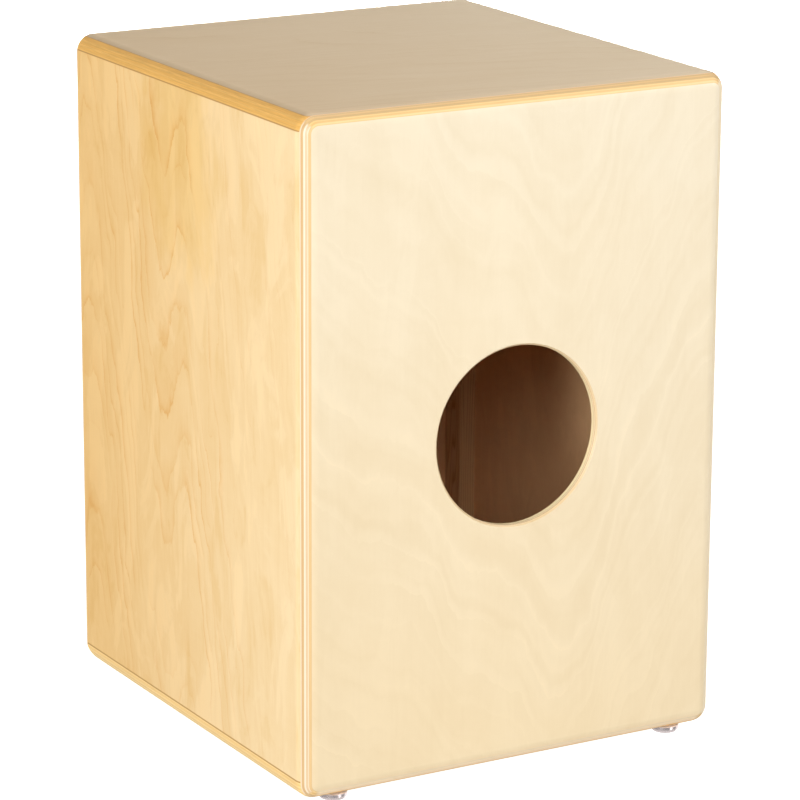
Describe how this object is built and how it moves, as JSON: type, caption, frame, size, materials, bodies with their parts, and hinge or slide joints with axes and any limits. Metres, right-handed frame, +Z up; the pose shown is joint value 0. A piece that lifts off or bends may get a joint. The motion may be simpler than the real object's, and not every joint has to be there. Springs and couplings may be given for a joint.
{
  "type": "cajon",
  "caption": "Upright wooden box drum with a thin playing face, a rear panel with a round sound hole, metal floor glides and a tilting snare bar inside.",
  "frame": {"origin": "on the floor under the middle of the box (underside of the glides)", "axes": "+Z up, playing face (tapa) towards -Y, rear panel with the sound hole towards +Y, the player's left at +X"},
  "size_m": [0.3, 0.3084, 0.4315],
  "materials": {
    "birch_ply": "satin lacquer over birch plywood",
    "birch_face": "satin lacquer over thin plywood",
    "spruce": "planed, bare",
    "beech": "turned, bare",
    "black_steel": "black phosphated",
    "nickel": "polished nickel plate",
    "brass": "rolled",
    "snare_steel": "bright drawn wire",
    "zinc_steel": "zinc plated",
    "felt": "pressed wool felt"
  },
  "bodies": {
    "box": {"seat_panel": "birch_ply", "base_panel": "birch_ply", "left_side_panel": "birch_ply", "right_side_panel": "birch_ply", "rear_panel": "birch_ply", "tapa": "birch_face", "batten_front_left": "spruce", "batten_front_right": "spruce", "batten_front_top": "spruce", "batten_front_bottom": "spruce", "tapa_screws": "black_steel", "glide_front_left": "nickel", "glide_front_right": "nickel", "glide_rear_left": "nickel", "glide_rear_right": "nickel", "felt_washer_left": "felt", "felt_washer_right": "felt"},
    "snare_unit": {"snare_bar": "beech", "snare_plate_left": "brass", "snare_plate_right": "brass", "snare_wires_left": "snare_steel", "snare_wires_right": "snare_steel", "snare_screws": "zinc_steel"}
  },
  "joints": [
    {"name": "snare_bar_tilt", "type": "hinge", "parent": "box", "child": "snare_unit", "pos_m": [0, -0.1402, 0.2875], "axis": [-1, 0, 0], "range_deg": [0, 40]}
  ]
}
